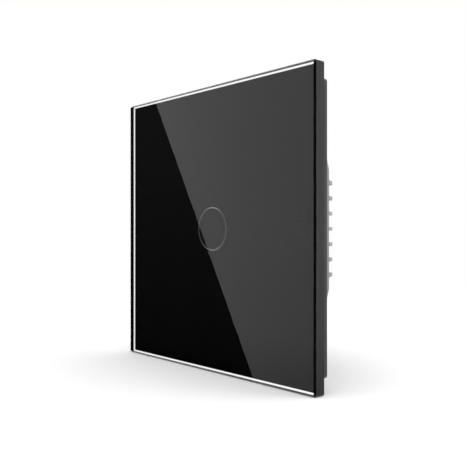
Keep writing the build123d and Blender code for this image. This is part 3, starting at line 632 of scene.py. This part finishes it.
def soften(width, *names):
    """Round the sharp edges of CAD nodes a little, without changing their meshes."""
    for name in names:
        node = NODES[name]
        weld = node.modifiers.new("Joined corners", "WELD")
        weld.merge_threshold = TOUCHING
        edge = node.modifiers.new("Soft edges", "BEVEL")
        edge.width = width
        edge.segments = SOFT_SEGMENTS
        edge.limit_method = "ANGLE"
        edge.angle_limit = SOFTEN_FROM
        edge.harden_normals = True


def nodes_like(*starts):
    """Names of the CAD nodes that begin with any of the given words."""
    return sorted(name for name in NODES if name.startswith(starts))


# Stage

FLOOR_SQUARES = 24
SENSOR_MILLIMETRES = 36.0
NEAREST_SEEN = 5.0 * MM

# A direction in the mirrored room has a height, from -1 straight down to 1 straight up.
# The white dims downwards over two ranges of it, and the dark card brightens upwards.
DIM_FROM = 0.0
DIM_TO = -0.18
DIM_LIGHT = 0.84
FOOT_FROM = -0.16
FOOT_TO = -0.23
FOOT_LIGHT = 0.72
CARD_BOTTOM = -0.2
CARD_TOP = 0.22

# The card is only where a direction's y is less than this, and the dark corner is
# fully dark within this share of its half angle.
CARD_FRONT = -0.3
SHADE_CORE_SHARE = 0.85


def glow(tree, kind, tone, light):
    """The light of an Emission or a Background node, as an output socket."""
    node = add_node(tree, kind)
    feed(tree, node.inputs["Color"], tone)
    node.inputs["Strength"].default_value = light
    return node.outputs[kind]


def floor_material(stage):
    """Pale paint that keeps the shadow and turns as white as the room far away."""
    finish = Finish("Pale floor")
    tree = finish.tree
    away = add_node(tree, "VectorMath", operation="LENGTH")
    join(tree, object_place(tree), away.inputs[0])
    far = spread(tree, away.outputs["Value"], stage.fade_start, stage.fade_end)
    grain_out = finish.group("Fine grain", colour=stage.floor_colour, variation=0.02,
                             scale=400.0)
    finish.set(Base_Color=grain_out["Colour"], Roughness=0.9, Specular_IOR_Level=0.0)
    white = glow(tree, "Emission", grey(1.0), 1.0)
    rays = add_node(tree, "LightPath")
    through = rays.outputs["Is Transmission Ray"]
    seen = calculate(tree, "MAXIMUM", rays.outputs["Is Camera Ray"], through)
    seen = calculate(tree, "MAXIMUM", seen, rays.outputs["Is Glossy Ray"])
    shown = calculate(tree, "MAXIMUM", calculate(tree, "MULTIPLY", seen, far), through)
    mixed = mix_shaders(tree, shown, finish.surface.outputs["BSDF"], white)
    join(tree, mixed, tree.nodes["Material Output"].inputs["Surface"])
    return finish.material


def mirrored_light(tree, stage):
    """What the glass mirrors: a white room that dims downwards, a dark card, a dark corner."""
    direction = add_node(tree, "TexCoord").outputs["Generated"]
    parts = add_node(tree, "SeparateXYZ")
    join(tree, direction, parts.inputs["Vector"])
    height = parts.outputs["Z"]
    dimmed = spread(tree, height, DIM_TO, DIM_FROM, new_low=DIM_LIGHT)
    foot = spread(tree, height, FOOT_TO, FOOT_FROM, new_low=FOOT_LIGHT)
    dimmed = calculate(tree, "MULTIPLY", dimmed, foot)

    lean = compare(tree, direction, stage.card_lean)
    beyond_edge = calculate(tree, "LESS_THAN", lean, 0.0)
    in_front = calculate(tree, "LESS_THAN", parts.outputs["Y"], CARD_FRONT)
    card = calculate(tree, "MULTIPLY", beyond_edge, in_front)
    card_shine = spread(tree, height, CARD_BOTTOM, CARD_TOP, new_high=stage.card_light)
    bright = add_node(tree, "Mix", data_type="FLOAT")
    join(tree, card, bright.inputs["Factor"])
    join(tree, dimmed, bright.inputs["A"])
    join(tree, card_shine, bright.inputs["B"])

    turn = stage.camera_turn
    behind = compare(tree, direction, (math.sin(turn), -math.cos(turn), 0.0))
    cone = spread(tree, behind, math.cos(stage.shade_half_angle),
                  math.cos(stage.shade_half_angle * SHADE_CORE_SHARE))
    shown = calculate(tree, "MULTIPLY", bright.outputs["Result"],
                      calculate(tree, "SUBTRACT", 1.0, cone))
    grey = add_node(tree, "CombineColor")
    for channel in ("Red", "Green", "Blue"):
        join(tree, shown, grey.inputs[channel])
    return grey.outputs["Color"]


def build_room(stage):
    """The room: white to the camera, a plain light on the switch, and what glass mirrors."""
    world = bpy.data.worlds.new("White room")
    world.use_nodes = True
    bpy.context.scene.world = world
    tree = world.node_tree
    plain = tree.nodes["Background"]
    feed(tree, plain.inputs["Color"], grey(1.0))
    plain.inputs["Strength"].default_value = stage.room_light
    white = glow(tree, "Background", grey(1.0), 1.0)
    mirrored = glow(tree, "Background", mirrored_light(tree, stage), stage.mirror_light)
    rays = add_node(tree, "LightPath")
    through = calculate(tree, "MAXIMUM", rays.outputs["Is Camera Ray"],
                        rays.outputs["Is Transmission Ray"])
    lit = mix_shaders(tree, rays.outputs["Is Glossy Ray"], plain.outputs["Background"], mirrored)
    join(tree, mix_shaders(tree, through, lit, white), tree.nodes["World Output"].inputs["Surface"])


def soft_lamp(name, where, size, power):
    """A large square lamp that looks at the switch and that no mirror shows."""
    lamp = bpy.data.lights.new(name, "AREA")
    lamp.shape = "SQUARE"
    lamp.size = size
    lamp.energy = power
    made = bpy.data.objects.new(name, lamp)
    made.location = where
    made.rotation_mode = "QUATERNION"
    made.rotation_quaternion = (-Vector(where)).to_track_quat("-Z", "Y")
    made.visible_glossy = False
    made.visible_transmission = False
    bpy.context.scene.collection.objects.link(made)


def pale_floor(stage):
    """The floor, level with the lower edge of the glass."""
    mesh = bmesh.new()
    bmesh.ops.create_grid(mesh, x_segments=FLOOR_SQUARES, y_segments=FLOOR_SQUARES,
                          size=stage.floor_reach)
    floor = mesh_object("pale_floor", mesh, floor_material(stage))
    floor.location = (0.0, 0.0, GLASS_LOW.z)
    floor.visible_glossy = False


class SWITCH_OT_stage(Operator):
    """Build the floor, the room, the lamps and the camera"""

    bl_idname = "switch.stage"
    bl_label = "Stage"

    def execute(self, context):
        stage = context.scene.switch_stage
        pale_floor(stage)
        build_room(stage)
        soft_lamp("lamp_above", stage.above_place, stage.above_size, stage.above_power)
        soft_lamp("lamp_right", stage.right_place, stage.right_size, stage.right_power)

        lens = bpy.data.cameras.new("Camera")
        lens.lens = stage.camera_lens
        lens.sensor_width = SENSOR_MILLIMETRES
        lens.clip_start = NEAREST_SEEN
        camera = bpy.data.objects.new("Camera", lens)
        camera.location = stage.camera_place
        camera.rotation_euler = (QUARTER_TURN, 0.0, stage.camera_turn)
        context.scene.collection.objects.link(camera)
        context.scene.camera = camera
        context.scene.view_settings.view_transform = "Standard"
        return {"FINISHED"}


# Glass and print

GLASS_IOR = 1.45
PRINT_STEPS = 24
LOWER_LEFT = math.radians(225)
CHAMFER_ANGLE = math.radians(45)


def glass_material(glass):
    """Clear glass with a trace of tint."""
    clear = Finish("Clear glass")
    faint = clear.group("Fine grain", colour=glass.glass_tint, variation=0.004, scale=300.0)
    clear.cover(faint["Colour"], smooth=0.0, dull=0.001, scale=40.0, IOR=GLASS_IOR,
                Transmission_Weight=1.0)
    return clear.material


def ink_material(name, tone, fleck, scale):
    """Black ink with a fine speckle, dull so that only the glass over it shines."""
    ink = Finish(name)
    dots = ink.group("Speckle", colour=tone, fleck=grey(fleck), scale=scale, amount=0.5)
    ink.cover(dots["Colour"], smooth=0.55, dull=0.7, scale=200.0, Specular_IOR_Level=0.0)
    return ink.material


class SWITCH_OT_glass(Operator):
    """Finish the glass, and build the print behind it and the ink on its edges"""

    bl_idname = "switch.glass"
    bl_label = "Glass and print"

    def execute(self, context):
        glass = context.scene.switch_glass
        paint(glass_material(glass), "glass_panel")
        ink = ink_material("Black print", glass.print_colour, fleck=0.0056, scale=900.0)
        front = PRINT_LOW.y - glass.print_sink
        rear = PRINT_HIGH.y
        ring_points = 4 * PRINT_STEPS
        field = bmesh.new()
        ring_solid(field, straight_outline(PRINT_HIGH.x, PRINT_HIGH.z, PRINT_STEPS),
                   circle_outline(slit_radius(), ring_points, LOWER_LEFT), front, rear)
        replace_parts(piece("field_print", field, ink, "panel"), "black_print")

        middle = bmesh.new()
        outline = circle_outline(RING_MIDDLE_RADIUS, ring_points)
        fronts = wall_loop(middle, outline, front)
        rears = wall_loop(middle, outline, rear)
        bridge(middle, fronts, rears)
        middle.faces.new(fronts)
        middle.faces.new(list(reversed(rears)))
        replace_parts(piece("ring_middle_print", middle, ink, "panel"),
                    "ring_centre_print")

        edge_ink = ink_material("Edge ink", glass.edge_colour, fleck=0.009, scale=4000.0)
        layer = edge_layer(glass.print_sink, glass.print_sink + glass.edge_depth)
        piece("edge_print", layer, edge_ink, "panel")
        return {"FINISHED"}


def edge_layer(near, deep):
    """A thin layer inside the glass's sides and chamfers, between two depths under them."""
    corner, chamfer_rear = glass_edges()
    chamfer = chamfer_rear - GLASS_LOW.y
    mitre = math.tan(CHAMFER_ANGLE / 2)
    rear = GLASS_HIGH.y - near
    profile = [(near, rear), (near, chamfer_rear + near * mitre),
               (chamfer + near * mitre, GLASS_LOW.y + near),
               (chamfer + deep * mitre, GLASS_LOW.y + deep),
               (deep, chamfer_rear + deep * mitre), (deep, rear)]
    mesh = bmesh.new()
    bridge_round(mesh, [wall_loop(mesh, rounded_outline(GLASS_HIGH.x - inset, corner - inset), y)
                        for inset, y in profile])
    return mesh


def glass_edges():
    """Radius of the glass's corners and depth where its side begins, read from its mesh."""
    side = [v.co for v in NODES["glass_panel"].data.vertices
            if v.co.x > GLASS_HIGH.x - TOUCHING]
    return GLASS_HIGH.z - max(point.z for point in side), min(point.y for point in side)


def slit_radius():
    """Outer radius of the slit in the print, read from the print's own mesh."""
    points = NODES["black_print"].data.vertices
    return min(math.hypot(v.co.x, v.co.z) for v in points)


# Panel carrier and tape

class SWITCH_OT_panel(Operator):
    """Finish the carrier behind the glass and its tape"""

    bl_idname = "switch.panel"
    bl_label = "Panel carrier"

    def execute(self, context):
        plastics = context.scene.switch_plastics
        dark = moulded("Dark plastic", plastics.dark_colour, smooth=0.34, dull=0.46)
        paint(dark, "panel_carrier")
        soften(plastics.softened_edge, "panel_carrier")

        foam = speckled("Foam tape", grey(0.03), grey(0.07), scale=5000.0, amount=0.8,
                        roughness=0.85, relief=0.04 * MM)
        paint(foam, "bonding_tape")
        return {"FINISHED"}


# Mounting frame and screws

class SWITCH_OT_fixing(Operator):
    """Finish the mounting frame and the case screws"""

    bl_idname = "switch.fixing"
    bl_label = "Mounting frame"

    def execute(self, context):
        metals = context.scene.switch_metals
        zinc = metal("Zinc on steel", metals.steel_colour, stretch=(120.0, 900.0, 5000.0),
                     smooth=0.26, dull=0.42, fleck=(0.42, 0.44, 0.48), fleck_scale=420.0)
        paint(zinc, "mounting_frame")
        soften(metals.turned_edge, "mounting_frame")
        nickel = metal("Nickel", metals.nickel_colour, stretch=(4000.0, 300.0, 4000.0))
        paint(nickel, "case_screws")
        soften(metals.turned_edge, "case_screws")
        return {"FINISHED"}


# Rear housing and front cover

class SWITCH_OT_housing(Operator):
    """Finish the rear housing, the front cover and the insulating sheet"""

    bl_idname = "switch.housing"
    bl_label = "Housing"

    def execute(self, context):
        plastics = context.scene.switch_plastics
        # Painted shade: the housing and front cover take the darkened light plastic colour, which
        # stands in for the shade between the housing's ribs.
        light = moulded("Light plastic", plastics.light_colour_with_painted_shade, smooth=0.4, dull=0.55,
                        worn=1.15)
        paint(light, "rear_housing", "front_cover")
        soften(plastics.softened_edge, "front_cover")

        board = Finish("Pressed board")
        fibres = board.group("Rolled lines", stretch=(900.0, 3000.0, 300.0),
                             colour=(0.58, 0.50, 0.34), depth=0.3)
        board.set(Base_Color=fibres["Colour"], Roughness=0.8)
        board.bump(fibres["Height"], 0.02 * MM)
        paint(board.material, "insulating_sheet")
        return {"FINISHED"}


# Touch unit

SMALL_BLACK_PARTS = ("touch_chip", "touch_board_parts", "link_header", "link_socket", "fuse",
                     "rectifier", "regulator")

# The tracks are the joints of a brick pattern, in the sizes of its node
TRACKS = {"Scale": 160.0, "Mortar Size": 0.05, "Brick Width": 1.3, "Row Height": 0.35}
TRACK_STRENGTH = 0.7


def board_material(boards):
    """Lacquered fibre board with tracks under the lacquer."""
    finish = Finish("Circuit board")
    tree = finish.tree
    weave = finish.group("Speckle", colour=boards.board_colour, fleck=(0.02, 0.19, 0.08),
                         scale=2600.0, amount=0.6)
    tracks = add_node(tree, "TexBrick")
    turned = add_node(tree, "Mapping")
    turned.inputs["Rotation"].default_value = (QUARTER_TURN, 0.0, 0.0)
    join(tree, object_place(tree), turned.inputs["Vector"])
    join(tree, turned.outputs["Vector"], tracks.inputs["Vector"])
    for socket, value in TRACKS.items():
        tracks.inputs[socket].default_value = value
    copper_lines = tracks.outputs["Fac"]
    shown = mix_colours(tree, calculate(tree, "MULTIPLY", copper_lines, TRACK_STRENGTH),
                        weave["Colour"], (0.05, 0.30, 0.11))
    finish.cover(shown, smooth=0.18, dull=0.3, scale=120.0)
    return finish.bump(copper_lines, 0.03 * MM).material


class SWITCH_OT_touch(Operator):
    """Finish the light guide, the sensor pad, both boards and the small black parts"""

    bl_idname = "switch.touch"
    bl_label = "Touch unit"

    def execute(self, context):
        scene = context.scene
        plastics = scene.switch_plastics
        frosted = Finish("Frosted guide")
        milk = frosted.group("Fine grain", colour=(0.80, 0.83, 0.86), variation=0.04, scale=2500.0)
        frosted.cover(milk["Colour"], smooth=0.45, dull=0.6, scale=200.0,
                      Emission_Color=milk["Colour"], Emission_Strength=scene.switch_glass.ring_glow)
        paint(frosted.material, "light_guide")
        lens = moulded("Lamp lens", (0.75, 0.78, 0.72), smooth=0.12, dull=0.2)
        paint(lens, "indicator_lights")

        pad = speckled("Conductive foam", grey(0.025), (0.08, 0.08, 0.085), scale=2600.0,
                       amount=0.9, roughness=0.8, relief=0.06 * MM)
        paint(pad, "sensor_pad")
        soften(plastics.pad_edge, "sensor_pad")

        paint(board_material(scene.switch_boards), "touch_board", "power_board")
        chips = moulded("Moulded black", (0.018, 0.018, 0.019), smooth=0.42, dull=0.6, grain=6000.0)
        paint(chips, *SMALL_BLACK_PARTS)
        soften(plastics.small_edge, *SMALL_BLACK_PARTS)
        gold = metal("Gold on pins", (0.83, 0.60, 0.24), stretch=(5000.0, 400.0, 5000.0),
                     smooth=0.16, dull=0.26)
        paint(gold, "link_pins", "relay_coil_pins")
        return {"FINISHED"}


# Terminals

class SWITCH_OT_terminals(Operator):
    """Finish the terminal bodies, cages, screws and current bars"""

    bl_idname = "switch.terminals"
    bl_label = "Terminals"

    def execute(self, context):
        plastics = context.scene.switch_plastics
        metals = context.scene.switch_metals
        block = moulded("Terminal plastic", plastics.terminal_colour, smooth=0.36, dull=0.5)
        paint(block, *nodes_like("terminal_body"))
        soften(plastics.small_edge, *nodes_like("terminal_body"))
        turned = metal("Turned steel", metals.nickel_colour, stretch=(3500.0, 250.0, 3500.0),
                       smooth=0.18, dull=0.3)
        pressed = metal("Pressed steel", metals.nickel_colour, stretch=(200.0, 4000.0, 900.0),
                        smooth=0.24, dull=0.36)
        paint(turned, *nodes_like("terminal_screw"))
        paint(pressed, *nodes_like("terminal_cage"))
        soften(metals.turned_edge, *nodes_like("terminal_screw", "terminal_cage"))
        brass = metal("Rolled brass", metals.brass_colour, stretch=(3000.0, 150.0, 3000.0),
                      smooth=0.2, dull=0.34, fleck=(0.55, 0.36, 0.14))
        paint(brass, *nodes_like("current_bar", "relay_contact_bar", "relay_contact_spring"))
        soften(metals.bar_edge, *nodes_like("current_bar"))
        return {"FINISHED"}


# Relay

WIRE_SIDES = 6
STEPS_PER_TURN = 20
SPOOL_POINTS = 48

# Shares of the wire's radius: from one turn to the next, and the spool under the turns
TURN_PITCH_SHARE = 2.04
SPOOL_DEPTH_SHARE = 1.2
SPOOL_END_SHARE = 0.2


def wound_wire(name, node, wire, material):
    """A layer of wire wound on a spool around an axis along Y, in the space of a CAD node."""
    low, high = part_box(node)
    middle = node_middle(node)
    outer = (high.x - low.x) / 2
    radius = outer - wire
    pitch = TURN_PITCH_SHARE * wire
    turns = int((high.y - low.y - 2 * wire) / pitch)
    spare = (high.y - low.y - 2 * wire - turns * pitch) / 2
    mesh = bmesh.new()
    points = []
    for step in range(turns * STEPS_PER_TURN + 1):
        turned = 2 * math.pi * step / STEPS_PER_TURN
        points.append(Vector((middle[0] + radius * math.cos(turned),
                              low.y + wire + spare + pitch * step / STEPS_PER_TURN,
                              middle[1] + radius * math.sin(turned))))
    tube_along(mesh, points, wire, WIRE_SIDES)
    spool = [circle_outline(size, SPOOL_POINTS, centre=middle)
             for size in (outer - SPOOL_DEPTH_SHARE * wire, inner_radius(node))]
    ring_solid(mesh, *spool, low.y + SPOOL_END_SHARE * wire, high.y - SPOOL_END_SHARE * wire)
    made = piece(name, mesh, material, body_of(NODES[node])[0])
    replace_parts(made, node)


def node_middle(node):
    """The x and z of a node's own axis along Y."""
    low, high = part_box(node)
    return (low.x + high.x) / 2, (low.z + high.z) / 2


def inner_radius(node):
    """Smallest distance of a node's points from its own axis along Y."""
    x, z = node_middle(node)
    return min(math.hypot(v.co.x - x, v.co.z - z) for v in NODES[node].data.vertices)


class SWITCH_OT_relay(Operator):
    """Finish the relay, and wind its coil and the choke's"""

    bl_idname = "switch.relay"
    bl_label = "Relay"

    def execute(self, context):
        plastics = context.scene.switch_plastics
        metals = context.scene.switch_metals
        case = moulded("Relay case", plastics.relay_colour, smooth=0.2, dull=0.32)
        paint(case, "relay_case", "relay_base")
        bobbin = moulded("Bobbin plastic", (0.72, 0.71, 0.66), smooth=0.35, dull=0.5)
        paint(bobbin, "relay_bobbin")
        iron = metal("Plated iron", (0.50, 0.50, 0.52), stretch=(300.0, 3000.0, 3000.0),
                     smooth=0.3, dull=0.42, fleck=(0.36, 0.36, 0.38))
        paint(iron, "relay_yoke", "relay_core", "relay_armature")
        silver = metal("Silver contact", (0.80, 0.79, 0.76), stretch=(3000.0, 3000.0, 3000.0),
                       smooth=0.16, dull=0.3)
        paint(silver, "relay_fixed_contact", "relay_moving_contact")
        soften(plastics.relay_edge, "relay_yoke", "relay_armature", "relay_bobbin", "relay_base",
               "relay_fixed_contact", "relay_moving_contact")
        enamel = enamel_material(metals)
        wound_wire("relay_coil_wire", "relay_winding", metals.wire_radius, enamel)
        wound_wire("choke_wire", "choke_winding", metals.wire_radius, enamel)
        return {"FINISHED"}


def enamel_material(metals):
    """Copper under clear enamel."""
    finish = Finish("Enamelled copper")
    lines = finish.group("Rolled lines", stretch=(800.0, 6000.0, 800.0),
                         colour=metals.copper_colour, depth=0.25)
    finish.cover(lines["Colour"], smooth=0.18, dull=0.3, scale=300.0, Metallic=1.0,
                 Coat_Weight=0.6)
    return finish.material


# Power parts

# How far a lead's tip stands off the board at least, and how wide it is at most
LEAD_SHOWS = 0.1 * MM
LEAD_REACH = 1.2 * MM

# A dome of solder, from the board up: shares of the joint's radius and height
DOME_SHARES = ((1.0, 0.0), (0.92, 0.10), (0.72, 0.30), (0.52, 0.62), (0.40, 0.90), (0.22, 1.0),
               (0.0, 1.02))


class SWITCH_OT_power(Operator):
    """Finish the parts on the power board and solder their leads"""

    bl_idname = "switch.power"
    bl_label = "Power parts"

    def execute(self, context):
        plastics = context.scene.switch_plastics
        block = moulded("Film block", (0.55, 0.36, 0.045), smooth=0.2, dull=0.34, grain=1800.0)
        paint(block, "film_capacitor")
        sleeve = moulded("Can sleeve", (0.03, 0.04, 0.075), smooth=0.2, dull=0.3)
        paint(sleeve, "smoothing_capacitor")
        coat = moulded("Disc coat", (0.03, 0.09, 0.32), smooth=0.24, dull=0.36, grain=1500.0,
                       relief=0.03 * MM)
        paint(coat, "varistor")
        ferrite = speckled("Ferrite", (0.05, 0.05, 0.052), grey(0.12), scale=5000.0, amount=0.6,
                           roughness=0.62, relief=0.02 * MM)
        paint(ferrite, "choke_core")
        soften(plastics.block_edge, "choke_core", "smoothing_capacitor", "film_capacitor",
               "varistor")
        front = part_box("power_board")[0].y
        solder_joints("power_board_joints", lead_places(front), front, context.scene.switch_boards)
        return {"FINISHED"}


def lead_places(front):
    """Where leads come through the front face of the power board, read from the parts' tips."""
    found = []
    for name in ("film_capacitor", "smoothing_capacitor", "choke_core", "varistor", "fuse",
                 "regulator", "relay_coil_pins"):
        tips = [v.co for v in NODES[name].data.vertices if v.co.y < front - LEAD_SHOWS]
        for tip in tips:
            near = [group for group in found
                    if math.hypot(group[0].x - tip.x, group[0].z - tip.z) < LEAD_REACH]
            if near:
                near[0].append(tip)
            else:
                found.append([tip])
    return [(sum(p.x for p in group) / len(group), sum(p.z for p in group) / len(group))
            for group in found]


def solder_joints(name, leads, face, boards):
    """Domes of solder around leads, on the front face of a board."""
    profile = [(0, face)] + [(boards.solder_radius * wide, face - boards.solder_height * high)
                             for wide, high in DOME_SHARES]
    mesh = bmesh.new()
    for lead in leads:
        lathe(mesh, profile, boards.solder_sides, lead)
    piece(name, mesh, solder_material(), "root")


def solder_material():
    """Bright solder with a slightly grained skin."""
    finish = Finish("Solder")
    skin = finish.group("Speckle", colour=(0.62, 0.62, 0.63), fleck=(0.5, 0.5, 0.52),
                        scale=3000.0, amount=0.5)
    finish.cover(skin["Colour"], smooth=0.14, dull=0.28, scale=900.0, Metallic=1.0)
    return finish.material


# Sidebar and running

OPERATORS = (SWITCH_OT_stage, SWITCH_OT_glass, SWITCH_OT_panel, SWITCH_OT_fixing,
             SWITCH_OT_housing, SWITCH_OT_touch, SWITCH_OT_terminals, SWITCH_OT_relay,
             SWITCH_OT_power)
SETTINGS = {"switch_stage": SwitchStage, "switch_glass": SwitchGlass,
            "switch_plastics": SwitchPlastics, "switch_metals": SwitchMetals,
            "switch_boards": SwitchBoards}


class SWITCH_PT_sidebar(Panel):
    """Lists the pieces and their settings"""

    bl_idname = "SWITCH_PT_sidebar"
    bl_label = "Touch light switch"
    bl_space_type = "VIEW_3D"
    bl_region_type = "UI"
    bl_category = "Switch"

    def draw(self, context):
        for operator in OPERATORS:
            self.layout.operator(operator.bl_idname)
        for name in SETTINGS:
            box = self.layout.box()
            group = getattr(context.scene, name)
            for field in group.__annotations__:
                box.prop(group, field)


def register():
    """Make the settings, the operators and the sidebar known to Blender."""
    for group in SETTINGS.values():
        bpy.utils.register_class(group)
    for name, group in SETTINGS.items():
        setattr(bpy.types.Scene, name, PointerProperty(type=group))
    for operator in OPERATORS:
        bpy.utils.register_class(operator)
    bpy.utils.register_class(SWITCH_PT_sidebar)


def unregister():
    """Undo register, in reverse."""
    bpy.utils.unregister_class(SWITCH_PT_sidebar)
    for operator in reversed(OPERATORS):
        bpy.utils.unregister_class(operator)
    for name, group in reversed(list(SETTINGS.items())):
        delattr(bpy.types.Scene, name)
        bpy.utils.unregister_class(group)


def main():
    """Run every operator in order."""
    register()
    for operator in OPERATORS:
        group, name = operator.bl_idname.split(".")
        getattr(getattr(bpy.ops, group), name)()


if __name__ == "__main__":
    main()
